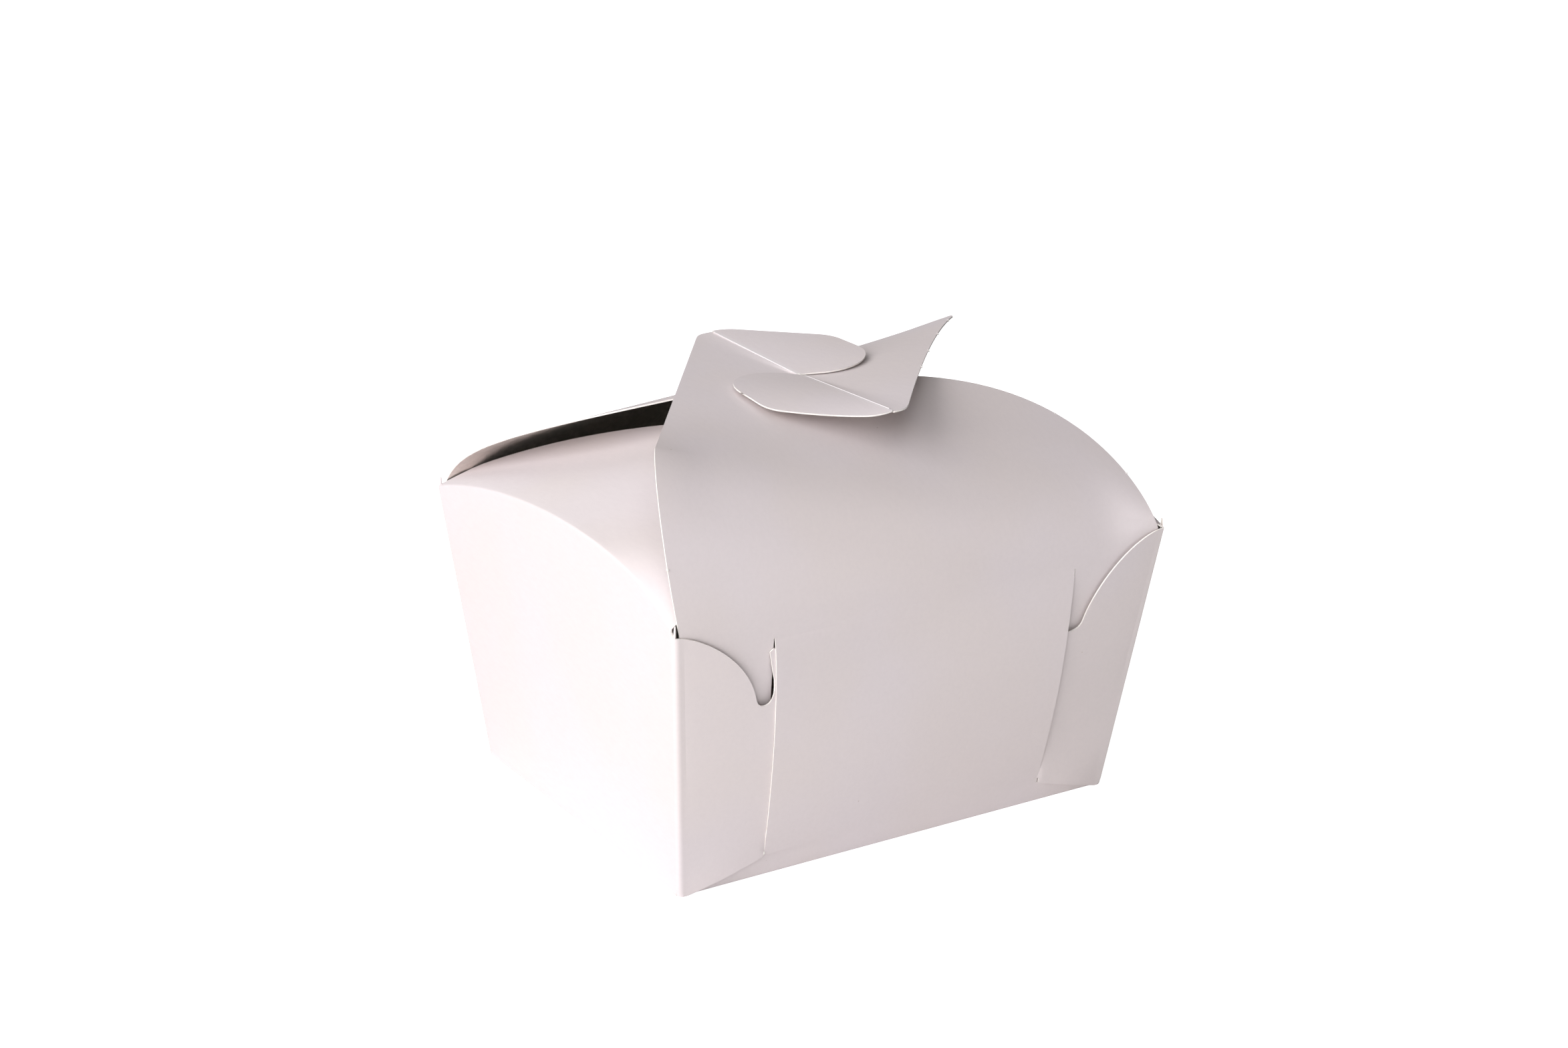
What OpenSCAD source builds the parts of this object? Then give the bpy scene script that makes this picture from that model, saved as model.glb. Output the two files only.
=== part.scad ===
// Folded pastry box: one sheet of board makes the tray, the curved shoulders,
// the four corner locks and the two lid halves, which interlock at the top.
// The two locking tabs fold on their own scored lines.
// Millimetres. Origin at the middle of the bottom, +Z up, front towards -Y.

/* [Tray] */
// Length of the bottom, outside
base_l = 130; // [115:1:150]
// Width of the bottom, outside
base_w = 100; // [88:1:115]
// Length across the top of the walls, outside
top_l = 146; // [134:1:162]
// Width across the top of the walls, outside
top_w = 123; // [108:1:138]
// Height of the front and back walls
wall_h = 75; // [60:1:95]

/* [Board] */
// Thickness of the board
card = 0.4; // [0.3:0.05:0.55]
// Radius of the bead that a scored fold leaves
fold_r = 0.28; // [0.28:0.02:0.4]
// Air between two layers of board that lie on each other
lap_gap = 0.15; // [0.1:0.05:0.3]

/* [Shoulders] */
// Rise of the curved score on the side pressed down by the lid's wing
pressed_rise = 13.3; // [9:0.1:16]
// Run of the score on that side
pressed_run = 45; // [35:1:50]
// Rise of the score on its free side
free_rise = 21; // [14:0.5:24]
// Run of the score on its free side
free_run = 15; // [12:1:30]
// Upward slope of the shoulder at its middle line
shoulder_slope = 14; // [8:1:16]
// Reach of the shoulder from the end wall towards the middle
shoulder_reach = 51; // [35:1:55]
// Reach of the shoulder where its cut sides start, at the corners
shoulder_root = 6; // [2:0.5:10]
// Run of the shoulder's cut sides towards the middle, for the box's half width
shoulder_cut = 53; // [45:0.5:60]
// Room between the shoulder's cut side and the wall, at the corner
shoulder_gap = 1.5; // [1:0.1:7]

/* [Lid halves] */
// Inward place of the lid's kink, from the end of the wall
kink_in = 8.4; // [5:0.2:12]
// Place of the kink towards the middle, from the wall's top line
kink_back = 25.6; // [20:0.2:30]
// Height of the kink above the wall's top line
kink_rise = 37.5; // [34:0.5:40]
// The second lid half is bent further over: its kink lies lower by this much
spike_drop = 3; // [0:0.5:5]
// ... and nearer the middle along the box's width
spike_back = 8.6; // [0:0.2:10]
// ... and nearer the end wall
spike_out = 4.4; // [0:0.2:6]
// Upward bow of the slanting edge behind that lower kink
spike_bow = 3.6; // [0:0.2:5]
// ... and its inward bow, seen from above
spike_dip = 2.3; // [0:0.1:3]
// Height of the notch between tab and wing, above the wall's top line
notch_rise = 36; // [33:0.1:40]
// Length of each scored tab line
score_l = 40; // [34:0.5:44]
// Fall of the scored line's inner end towards the notch
score_fall = 1.3; // [0:0.1:2]
// Sideways run of the scored line over its length
score_skew = 1.6; // [0:0.1:3]
// Closure's place along the box, from the middle
closure_x = 0.5; // [-2:0.1:2]
// Distance of each notch end from the closure's centre
notch_gap = 0.5; // [0.4:0.1:1]

/* [Tabs] */
// Radius of the outer corner, centred on the scored line
corner_r = 11.4; // [9:0.1:13]
// Reach of the tab from its scored line
tab_reach = 25.1; // [20:0.1:28]
// Overshoot of the tab past the notch
tab_over = 4; // [1:0.1:4.5]
// Angle at which the tab leaves its scored line, next to the notch
tab_lift = 6.5; // [5:0.5:10]
// The same angle at the scored line's outer end
tab_lift_out = 2; // [0:0.5:5]
// Radius of the tab's slight curl
tab_curl = 350; // [200:10:500]

/* [Corner locks] */
// Slit's distance from the middle of the wall, at its foot
slit_foot_x = 42.3; // [38:0.1:46]
// Slit's distance from the middle of the wall, at its top
slit_top_x = 45.5; // [41:0.1:49]
// Height of the slit's foot
slit_foot = 5.7; // [4:0.1:10]
// Height of the slit's top
slit_top = 68.3; // [62:0.1:72]
// Width of the slit
slit_w = 1.2; // [1.2:0.1:1.6]
// Bulge of the wall between the slits, over the lock's tongue
bulge = 3; // [2.4:0.1:4]
// Height of the round notch in the lock's top edge
notch_z = 52.6; // [44:0.2:56]
// Radius of that notch
notch_r = 2.4; // [1.8:0.1:3]
// Length of the tongue behind the wall's middle part
tongue_l = 8; // [6:0.5:12]

/* [Hidden] */

// Leans of the walls, and the step from the outside to the front wall's face
front_lean = atan((top_w - base_w) / 2 / wall_h);
end_lean = atan((top_l - base_l) / 2 / wall_h);
lap = card + lap_gap;
mid = card / 2;

// Small steps that keep faces from lying on each other
shy = 0.05;
// Gap at each end of the front and back walls
side_gap = 1.8;
// Height at which the walls start, inside the thickness of the bottom
foot_z = card * 0.7;

// Rows and columns of the lid's ruled surface
wall_rows = 10;
bend_rows = 9;
wing_rows = 15;
fan_rows = 5;
corner_rows = 4;
lid_cols = 6;
// Rows and columns of a shoulder
shoulder_rows = 32;
shoulder_cols = 4;
// Roundness of the shoulder's inner corners
corner_soft = 1.5;
// Share of the wing's edge along which the bend's rulings start
bend_share = 0.05;

// Tab tip: two arcs, the smaller nearer the outer corner
tip_r = 9;
tip_y = 16.2;
belly_r = 13;
// Gap between the fold's bead and the tab's edge
hinge_gap = 0.1;
tab_start = fold_r + hinge_gap;

function lerp(a, b, t) = a + (b - a) * t;
function unit(v) = v / norm(v);
function bezier(p, t) =
    len(p) == 1 ? p[0]
    : bezier([for (i = [0:len(p) - 2]) lerp(p[i], p[i + 1], t)], t);

// Point of the front wall's outer face
function wall_point(x, z) = [x, -(base_w / 2 - lap) - z * tan(front_lean), z];
// Half length of the front wall at a height
function wall_half(z) = base_l / 2 + z * tan(end_lean) - side_gap;
// Half distance between the slits at a height
function slit_x(z) = lerp(slit_foot_x, slit_top_x, (z - slit_foot) / (slit_top - slit_foot));
// Outward bulge of the wall between its slits
function bulge_at(z) =
    z <= slit_foot || z >= slit_top ? 0
    : bulge * pow(sin(180 * (z - slit_foot) / (slit_top - slit_foot)), 0.5);

// Notch end, seen in the frame of one lid half: shift is the closure's offset there
function notch_end(shift) = [shift - notch_gap, 0, wall_h + notch_rise];
function score_end(shift) = notch_end(shift) + [-score_skew, score_l, score_fall];
function corner_centre(shift) = lerp(score_end(shift), notch_end(shift), corner_r / score_l);
function kink(spike) =
    wall_point(-wall_half(wall_h), wall_h)
    + [kink_in - spike * spike_out, kink_back + spike * spike_back, kink_rise - spike * spike_drop];

// Free edge of the lid half from the wall's end up to the kink
function bend_edge(spike, t) =
    let (start = wall_point(-wall_half(wall_h), wall_h), end = kink(spike))
    bezier([start, start + [-2.8, 0, wall_h / 6], end + [-8.2, -13.1, -2.5], end], t);

// Direction of the slanting edge in plan, tangent to the outer corner
function slant_angle(shift, spike) =
    let (d = corner_centre(shift) - kink(spike), flat = norm([d.x, d.y]))
    atan2(d.y, d.x) + asin(corner_r / flat);
function corner_point(shift, a) =
    corner_centre(shift) + [corner_r * cos(a), corner_r * sin(a), 0];
function slant_edge(shift, spike, t) =
    let (
        start = kink(spike),
        end = corner_point(shift, slant_angle(shift, spike) + 90),
        across = unit([end.y - start.y, start.x - end.x]),
        middle = lerp(start, end, 0.5) + spike * [across.x * spike_dip, across.y * spike_dip, spike_bow]
    )
    bezier([start, middle, end], t);

// Wing's free edge, from the wall's other end to the notch
function wing_edge(shift, t) =
    let (
        start = wall_point(wall_half(wall_h), wall_h),
        end = notch_end(shift) + [0.9, -4.3, -1.1]
    )
    bezier([start, start + [-5.3, -1.9, 11.1], start + [11, 57, 31.8], end], t);

// Wall's grid: a row per height, with a column on each side of each slit
function wall_grid() =
    [for (i = [0:wall_rows])
        let (
            z = i == wall_rows ? wall_h : lerp(foot_z, slit_top, i / (wall_rows - 1)),
            near = slit_x(z) + slit_w * 0.7,
            far = slit_x(z) + slit_w * 0.3,
            out = -bulge_at(z) * [0, cos(front_lean), sin(front_lean)]
        )
        concat(
            [wall_point(-wall_half(z), z), wall_point(-near, z)],
            [for (k = [0:lid_cols]) wall_point(lerp(-far, far, k / lid_cols), z) + out],
            [wall_point(near, z), wall_point(wall_half(z), z)]
        )];

// Rulings of the lid half: each row is its left and its right end
function lid_rows(shift, spike) =
    let (
        slant = slant_angle(shift, spike) + 90,
        score = 90 + atan(score_skew / score_l),
        wing_end = wing_edge(shift, 1),
        notch = notch_end(shift),
        fans = fan_rows + corner_rows
    )
    concat(
        [for (i = [1:bend_rows])
            [bend_edge(spike, i / bend_rows), wing_edge(shift, bend_share * i / bend_rows)]],
        [for (i = [1:wing_rows])
            [slant_edge(shift, spike, 0.5 * i / wing_rows),
             wing_edge(shift, lerp(bend_share, 1, i / wing_rows))]],
        [for (i = [1:fan_rows])
            [slant_edge(shift, spike, 0.5 + 0.5 * i / fan_rows), lerp(wing_end, notch, i / fans)]],
        [for (i = [1:corner_rows])
            [corner_point(shift, lerp(slant, score, i / corner_rows)),
             lerp(wing_end, notch, (fan_rows + i) / fans)]]
    );

// Solid sheet of one thickness below a grid of points
module sheet(grid, thick) {
    rows = len(grid);
    cols = len(grid[0]);
    function across(i, j) = grid[i][min(j + 1, cols - 1)] - grid[i][max(j - 1, 0)];
    function along(i, j) = grid[min(i + 1, rows - 1)][j] - grid[max(i - 1, 0)][j];
    under = [for (i = [0:rows - 1]) [for (j = [0:cols - 1])
        grid[i][j] - thick * unit(cross(across(i, j), along(i, j)))]];
    points = concat([for (row = grid) each row], [for (row = under) each row]);
    count = rows * cols;
    function at(i, j) = i * cols + j;
    faces = concat(
        [for (i = [0:rows - 2]) for (j = [0:cols - 2]) each [
            [at(i, j), at(i + 1, j), at(i + 1, j + 1)],
            [at(i, j), at(i + 1, j + 1), at(i, j + 1)],
            [count + at(i, j), count + at(i + 1, j + 1), count + at(i + 1, j)],
            [count + at(i, j), count + at(i, j + 1), count + at(i + 1, j + 1)]]],
        [for (i = [0:rows - 2]) each [
            [at(i, 0), count + at(i, 0), count + at(i + 1, 0)],
            [at(i, 0), count + at(i + 1, 0), at(i + 1, 0)],
            [at(i, cols - 1), at(i + 1, cols - 1), count + at(i + 1, cols - 1)],
            [at(i, cols - 1), count + at(i + 1, cols - 1), count + at(i, cols - 1)]]],
        [for (j = [0:cols - 2]) each [
            [at(0, j), at(0, j + 1), count + at(0, j + 1)],
            [at(0, j), count + at(0, j + 1), count + at(0, j)],
            [at(rows - 1, j), count + at(rows - 1, j), count + at(rows - 1, j + 1)],
            [at(rows - 1, j), count + at(rows - 1, j + 1), at(rows - 1, j + 1)]]]
    );
    polyhedron(points, faces, convexity = 10);
}

// Front wall and lid half as one bent sheet
module lid_half(shift, spike) {
    wall = wall_grid();
    top = wall[wall_rows];
    share = [for (p = top) (p.x - top[0].x) / (2 * wall_half(wall_h))];
    lid = [for (row = lid_rows(shift, spike)) [for (u = share) lerp(row[0], row[1], u)]];
    sheet(concat(wall, lid), card);
}

// Places children in the plane of a wall's outer face: x along, y up the slope, z outward
module on_front(inset = 0) {
    translate([0, -(base_w / 2 - inset), 0]) rotate([90 + front_lean, 0, 0]) children();
}
module on_end() {
    rotate([0, 0, -90]) translate([0, -base_l / 2, 0]) rotate([90 + end_lean, 0, 0]) children();
}

// Distance up the slope of the front wall for a height
function front_up(z) = z / cos(front_lean);

// Curved score over the left end wall, seen square to the box's length: y and height
function score_curve(t) =
    bezier([
        [top_w / 2, wall_h],
        [top_w / 2 - pressed_run, wall_h + pressed_rise],
        [-top_w / 2 + free_run, wall_h + free_rise],
        [-top_w / 2, wall_h]
    ], t);
// Parameter of that curve at a place across the box, by halving
function score_at(y, low = 0, high = 1, steps = 16) =
    let (t = (low + high) / 2)
    steps == 0 ? t
    : score_curve(t).x > y ? score_at(y, t, high, steps - 1) : score_at(y, low, t, steps - 1);

// Place of the left end wall's outer face at a height
function end_face(z) = -base_l / 2 - z * tan(end_lean);

// Reach of the shoulder from the end wall, across the box: straight sides, a round
// inner end, and at the corners a cut that stays clear of the lid
function soft_min(a, b) = -corner_soft * ln(exp(-a / corner_soft) + exp(-b / corner_soft));
function shoulder_len(y) =
    let (
        w = abs(y) / (top_w / 2),
        side = shoulder_root + shoulder_cut * (1 - w) - 8 * w * (1 - w),
        clear = shoulder_root / 2 + 2.1 * (top_w / 2 - shoulder_gap - abs(y))
    )
    min(clear, soft_min(side, shoulder_reach));

// Slope of the shoulder's rulings: flatter on the free side of the score
function shoulder_rise(y) = tan(shoulder_slope) * (1 + y / top_w * 1.5);

// End wall, cut along the curved score
module end_wall() {
    half_foot = base_w / 2 - mid;
    curve = [for (i = [0:24]) score_curve(i / 24)];
    on_end() translate([0, 0, -card]) linear_extrude(card)
        polygon(concat(
            [[half_foot, foot_z], [-half_foot, foot_z]],
            [for (p = curve) [-p.x * (1 - card / top_w), (p.y - mid) / cos(end_lean)]]));
}

// Shoulder: the vaulted tongue that folds in over the end
module shoulder() {
    half = top_w / 2 - shoulder_gap;
    grid = [for (i = [0:shoulder_rows])
        let (
            y = -half + 2 * half * i / shoulder_rows,
            z = score_curve(score_at(y)).y,
            x = end_face(z) + shy,
            reach = shoulder_len(y)
        )
        [for (j = [0:shoulder_cols]) [
            x + reach * j / shoulder_cols,
            y,
            z + shoulder_rise(y) * reach * j / shoulder_cols]]];
    sheet(grid, card);
}

// Outline of the left corner lock in the plane of the front wall
module lock_outline() {
    corner = [-top_l / 2, front_up(wall_h)];
    neck = [-slit_x(notch_z) - notch_r * 1.7, front_up(notch_z) - 0.8];
    centre = [neck.x + notch_r, front_up(notch_z)];
    curve = [for (i = [0:10]) bezier([corner, corner + [12, -4], neck + [-2.4, 10], neck], i / 10)];
    hook = [for (i = [1:6]) centre + notch_r * [cos(195 + 27 * i), sin(195 + 27 * i)]];
    end = -slit_x(notch_z) + tongue_l;
    tongue = [[-slit_x(61), front_up(61)], [-slit_x(61) + 1.5, front_up(61.5)],
              [end, front_up(notch_z)], [end, front_up(20)],
              [-slit_x(12) + 1, front_up(12.5)], [-slit_x(slit_foot) - slit_w / 2, front_up(slit_foot)]];
    polygon(concat([[-base_l / 2, 0]], curve, hook, tongue));
}

// Corner lock: lies on the front wall, its tongue behind the wall's bulged middle
module corner_lock() {
    intersection() {
        on_front() translate([0, 0, -card]) linear_extrude(card) lock_outline();
        on_end() translate([-top_w, 0, -top_l - mid]) cube([top_w * 2, wall_h * 2, top_l]);
        translate([-top_l, -top_w, foot_z]) cube([top_l, top_w * 2, wall_h * 2]);
    }
}

// Left slit in the front wall
module lock_slit() {
    on_front() translate([0, 0, -6]) linear_extrude(12) polygon([
        [-slit_x(slit_foot) - slit_w, front_up(slit_foot)],
        [-slit_x(slit_foot), front_up(slit_foot)],
        [-slit_x(slit_top), front_up(slit_top)],
        [-slit_x(slit_top) - slit_w, front_up(slit_top)]]);
}

// Raised bead of a tab's scored line, on the axis the tab folds about
module score_bead(shift) {
    on_score(shift) rotate([-90, 0, 0]) cylinder(r = fold_r, h = score_l - shy, $fn = 32);
}

// Everything that repeats half a turn round
module both_ways() {
    children();
    rotate([0, 0, 180]) children();
}

module carton() {
    color("whitesmoke") {
        // bottom
        translate([-base_l / 2 + mid, -base_w / 2 + lap + mid, 0])
            cube([base_l - card, base_w - 2 * lap - card, card]);
        difference() {
            lid_half(closure_x, 0);
            lock_slit();
            mirror([1, 0, 0]) lock_slit();
        }
        rotate([0, 0, 180]) difference() {
            lid_half(-closure_x, 1);
            lock_slit();
            mirror([1, 0, 0]) lock_slit();
        }
        score_bead(closure_x);
        rotate([0, 0, 180]) score_bead(-closure_x);
        both_ways() {
            end_wall();
            shoulder();
            corner_lock();
            mirror([0, 1, 0]) corner_lock();
        }
    }
}

// Frame of one tab: origin at the notch end, y up the scored line, x towards the tip
module on_score(shift) {
    notch = notch_end(shift);
    d = score_end(shift) - notch;
    translate(notch - [0, 0, mid])
        rotate([0, 0, atan2(-d.x, d.y)])
            rotate([atan2(d.z, norm([d.x, d.y])), 0, 0])
                children();
}

// Flat outline of a tab, with its scored line on x = 0
module tab_outline() {
    tip_x = tab_reach - tip_r;
    intersection() {
        hull() {
            translate([0, score_l - corner_r]) circle(r = corner_r, $fn = 64);
            translate([tip_x, tip_y]) circle(r = tip_r, $fn = 64);
            translate([tab_reach - belly_r, belly_r - tab_over]) circle(r = belly_r, $fn = 64);
            translate([2.4, 2]) circle(r = 1.2, $fn = 24);
        }
        translate([tab_start, -20]) square([60, 80]);
    }
}

// Tab: its surface leaves the scored line steeper next to the notch
module tab(shift) {
    rows = 12;
    cols = 7;
    grid = [for (i = [0:rows]) [for (j = [0:cols])
        let (
            x = (tab_reach + 1) * j / cols,
            y = lerp(-tab_over - 1, score_l + 1, i / rows),
            lift = lerp(tab_lift, tab_lift_out, y / score_l)
        )
        [x, y, x * tan(lift) - x * x / (2 * tab_curl) + mid]]];
    on_score(shift) intersection() {
        translate([0, 0, -10]) linear_extrude(20) tab_outline();
        sheet(grid, card);
    }
}

module front_tab() {
    color("white") tab(closure_x);
}

module back_tab() {
    color("white") rotate([0, 0, 180]) tab(-closure_x);
}

carton();
front_tab();
back_tab();
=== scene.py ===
import math
import bmesh
import bpy
from mathutils import Matrix, Vector


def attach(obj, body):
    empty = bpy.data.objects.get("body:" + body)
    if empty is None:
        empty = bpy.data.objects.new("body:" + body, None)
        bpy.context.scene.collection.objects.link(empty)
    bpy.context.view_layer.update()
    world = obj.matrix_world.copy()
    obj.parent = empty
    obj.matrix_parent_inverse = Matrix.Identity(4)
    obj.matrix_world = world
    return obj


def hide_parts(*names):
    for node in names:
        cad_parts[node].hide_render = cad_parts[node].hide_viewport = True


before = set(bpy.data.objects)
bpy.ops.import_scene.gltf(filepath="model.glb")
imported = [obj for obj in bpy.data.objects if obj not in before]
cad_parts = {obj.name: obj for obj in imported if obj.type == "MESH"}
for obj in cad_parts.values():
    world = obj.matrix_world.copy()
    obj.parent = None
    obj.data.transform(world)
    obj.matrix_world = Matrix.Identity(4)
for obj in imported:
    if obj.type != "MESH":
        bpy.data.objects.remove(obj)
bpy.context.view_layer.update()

mm = 0.001

# the folded tray, in millimetres, as in the solid
box = dict(baseLong=130, baseWide=100, topLong=146, topWide=123, wallHigh=75, board=0.4,
           lap=0.55,  # how far a long wall lies inside the locks' outer face
           endGap=1.8,  # from the end of a long wall to the end wall's outer face
           skin=0.02,  # how far the locks stay inside the solid's side
           foldRound=0.4, wallFoot=1.6, endFoot=2)  # folds at the bottom, and their run below the tray

frontLean = math.atan((box["topWide"] - box["baseWide"]) / 2 / box["wallHigh"])
endLean = math.atan((box["topLong"] - box["baseLong"]) / 2 / box["wallHigh"])
halfTurn = Matrix.Rotation(math.pi, 4, "Z")


def lerp(a, b, t):
    return a + (b - a) * t


def smooth(a, b, x):
    t = min(max((x - a) / (b - a), 0), 1)
    return t * t * (3 - 2 * t)


def bezier(points, t):
    while len(points) > 1:
        points = [lerp(a, b, t) for a, b in zip(points, points[1:])]
    return points[0]


# the last of so many halvings towards the place between 0 and 1 where below stops being true
def halve(below, steps):
    low, high = 0.0, 1.0
    for step in range(steps):
        t = (low + high) / 2
        low, high = (t, high) if below(t) else (low, t)
    return t


# finishes
class Wire:  # a socket that adds up like a number
    def __init__(self, bench, socket):
        self.bench, self.socket = bench, socket

    def combine(self, other, operation):
        return self.bench.node("ShaderNodeMath", {"operation": operation}, {0: self, 1: other})

    def __add__(self, other): return self.combine(other, "ADD")
    def __radd__(self, other): return self.combine(other, "ADD")
    def __mul__(self, other): return self.combine(other, "MULTIPLY")
    def __gt__(self, other): return self.combine(other, "GREATER_THAN")
    def __lt__(self, other): return self.combine(other, "LESS_THAN")

    def ramp(self, low, high, a=0.0, b=1.0):
        return self.bench.node("ShaderNodeMapRange", {"interpolation_type": "SMOOTHSTEP"},
                               {0: self, 1: low, 2: high, 3: a, 4: b})

    def beside(self, name):  # another output of the same node
        return Wire(self.bench, self.socket.node.outputs[name])


class Bench:  # one material's nodes
    def __init__(self, name):
        self.material = bpy.data.materials.new(name)
        self.material.use_nodes = True
        self.tree = self.material.node_tree
        self.shader = self.tree.nodes["Principled BSDF"]
        self.place = self.node("ShaderNodeTexCoord", {}, {}, "Object")

    def feed(self, socket, value):
        if isinstance(value, Wire):
            self.tree.links.new(value.socket, socket)
        else:
            socket.default_value = value

    def node(self, kind, settings, inputs, output=0):
        made = self.tree.nodes.new(kind)
        for name, value in settings.items():
            setattr(made, name, value)
        for name, value in inputs.items():
            self.feed(made.inputs[name], value)
        return Wire(self, made.outputs[output])

    def stretched(self, scale, turn):
        return self.node("ShaderNodeMapping", {}, {"Vector": self.place, "Scale": scale, "Rotation": turn})

    def noise(self, size, detail=3, rough=0.5, vector=None):
        return self.node("ShaderNodeTexNoise", {"normalize": True},
                         {"Vector": vector or self.place, "Scale": 1 / size, "Detail": detail, "Roughness": rough})

    def mix(self, factor, a, b):
        return self.node("ShaderNodeMix", {"data_type": "RGBA"}, {0: factor, 6: a, 7: b}, 2)

    def bump(self, height, strength, distance):
        return self.node("ShaderNodeBump", {}, {"Height": height, "Strength": strength, "Distance": distance},
                         "Normal")

    def finish(self, **values):
        for name, value in values.items():
            self.feed(self.shader.inputs[name.replace("_", " ")], value)
        return self.material


# sizes are in metres
boardLook = dict(colour=(0.79, 0.715, 0.73, 1), warm=(0.79, 0.71, 0.705, 1), cloudSize=0.045,
                 fibre=(0.70, 0.63, 0.64, 1), fibreSize=0.0011, fineSize=0.00035,
                 speck=(0.42, 0.34, 0.27, 1), speckCell=0.0065, speckRadius=0.016, speckSpread=0.012, speckFree=0.8,
                 scoreWhiteAndHighlight=(0.88, 0.86, 0.87, 1), rough=0.52, grain=0.00008)


def boardOutside():
    look, b = boardLook, Bench("boardOutside")
    cloud = b.noise(look["cloudSize"], 2)  # faint unevenness of the coating
    fibres = b.noise(look["fibreSize"], 4, 0.6, b.stretched((1, 0.35, 1), (0, 0, 0.6)))
    fine = b.noise(look["fineSize"], 2, 0.6)
    tone = b.mix(cloud.ramp(0.35, 0.65), look["colour"], look["warm"])
    tone = b.mix(fibres.ramp(0.3, 0.75, 0, 0.16), tone, look["fibre"])
    cells = b.node("ShaderNodeTexVoronoi", {}, {"Vector": b.place, "Scale": 1 / look["speckCell"]}, "Color")
    spread = b.node("ShaderNodeSeparateColor", {}, {"Color": cells})
    near = cells.beside("Distance") < look["speckRadius"] + spread * look["speckSpread"]
    specks = near * (spread > look["speckFree"])
    tone = b.mix(specks * 0.55, tone, look["speck"])
    crease = b.node("ShaderNodeAttribute", {"attribute_name": "crease"}, {}, "Fac")  # paler along the tabs' scores: partly the board whitening where it is scored, partly a painted highlight of the raised bead's bright line
    tone = b.mix(crease * 0.35, tone, look["scoreWhiteAndHighlight"])
    rough = fibres.ramp(0.2, 0.8, look["rough"] - 0.05, look["rough"] + 0.07) + crease * 0.08
    return b.finish(Base_Color=tone, Roughness=rough, Normal=b.bump(fine * 0.5 + fibres, 0.22, look["grain"]),
                    Specular_IOR_Level=0.42)


silverLook = dict(dark=(0.70, 0.655, 0.62, 1), light=(0.84, 0.79, 0.75, 1), warm=(0.86, 0.79, 0.73, 1),
                  brushSize=0.0013, cloudSize=0.02, metal=0.92, rough=(0.30, 0.46), grain=0.00012)


def silverInside():
    look, b = silverLook, Bench("silverInside")
    brushed = b.noise(look["brushSize"], 5, 0.65, b.stretched((1, 0.16, 1), (0, 0, 0.9)))
    cloud = b.noise(look["cloudSize"], 2)
    tone = b.mix(brushed.ramp(0.3, 0.7), look["dark"], look["light"])
    tone = b.mix(cloud.ramp(0.3, 0.7, 0, 0.4), tone, look["warm"])
    return b.finish(Base_Color=tone, Metallic=look["metal"], Roughness=brushed.ramp(0.25, 0.75, *look["rough"]),
                    Normal=b.bump(brushed, 0.35, look["grain"]))


edgeLook = dict(pale=(0.93, 0.895, 0.87, 1), dull=(0.86, 0.81, 0.765, 1), worn=(0.62, 0.53, 0.45, 1),
                fuzzSize=0.0005, wornSize=0.004, rough=(0.75, 0.95), grain=0.0001)


def cutEdge():
    look, b = edgeLook, Bench("cutEdge")
    fuzz = b.noise(look["fuzzSize"], 4, 0.7)
    worn = b.noise(look["wornSize"], 3, 0.6)
    tone = b.mix(fuzz.ramp(0.3, 0.7), look["pale"], look["dull"])
    tone = b.mix(worn.ramp(0.55, 0.75, 0, 0.45), tone, look["worn"])
    return b.finish(Base_Color=tone, Roughness=fuzz.ramp(0.2, 0.8, *look["rough"]),
                    Normal=b.bump(fuzz, 0.5, look["grain"]), Specular_IOR_Level=0.25)


fibreLook = dict(pale=(0.93, 0.90, 0.88, 1), dull=(0.84, 0.79, 0.75, 1), fuzzSize=0.0004, rough=0.9, grain=0.0001)


def bareFibre():
    look, b = fibreLook, Bench("bareFibre")
    fuzz = b.noise(look["fuzzSize"], 3, 0.7)
    tone = b.mix(fuzz.ramp(0.3, 0.7), look["pale"], look["dull"])
    return b.finish(Base_Color=tone, Roughness=look["rough"], Normal=b.bump(fuzz, 0.5, look["grain"]),
                    Specular_IOR_Level=0.2)


floorLook = dict(dull=(0.90, 0.90, 0.90, 1), pale=(0.93, 0.93, 0.93, 1), cloudSize=0.4, rough=0.9, glow=0.9)


def stageFloor():
    look, b = floorLook, Bench("stageFloor")
    tone = b.mix(b.noise(look["cloudSize"], 2).ramp(0.3, 0.7), look["dull"], look["pale"])
    # the floor looks white and throws no extra light
    seen = b.node("ShaderNodeLightPath", {}, {}, "Is Camera Ray")
    glow = b.mix(seen, (0, 0, 0, 1), (1, 1, 1, 1))
    return b.finish(Base_Color=tone, Roughness=look["rough"], Specular_IOR_Level=0.1, Emission_Color=glow,
                    Emission_Strength=look["glow"])


outside, inside, edge, fibre = boardOutside(), silverInside(), cutEdge(), bareFibre()
print("finishes made")


# sheets
# makes a grid in bm and moves its points to rows; points that are None go away, and so do cells in the hole
def gridInto(bm, rows, hole=None):
    high, wide = len(rows) - 1, len(rows[0]) - 1
    made = bmesh.ops.create_grid(bm, x_segments=wide, y_segments=high, size=1)["verts"]
    if hole:
        gone = []
        for f in {f for v in made for f in v.link_faces}:
            c = f.calc_center_median()
            if hole(int((c.y + 1) / 2 * high), int((c.x + 1) / 2 * wide)):
                gone.append(f)
        bmesh.ops.delete(bm, geom=gone, context="FACES")
    lost = []
    for v in made:
        if not v.is_valid:
            continue
        i, j = round((v.co.y + 1) / 2 * high), round((v.co.x + 1) / 2 * wide)
        if rows[i][j] is None:
            lost.append(v)
        else:
            v.co = Vector(rows[i][j]) * mm
    bmesh.ops.delete(bm, geom=lost, context="VERTS")


def everything(bm):
    return bm.verts[:] + bm.edges[:] + bm.faces[:]


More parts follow.
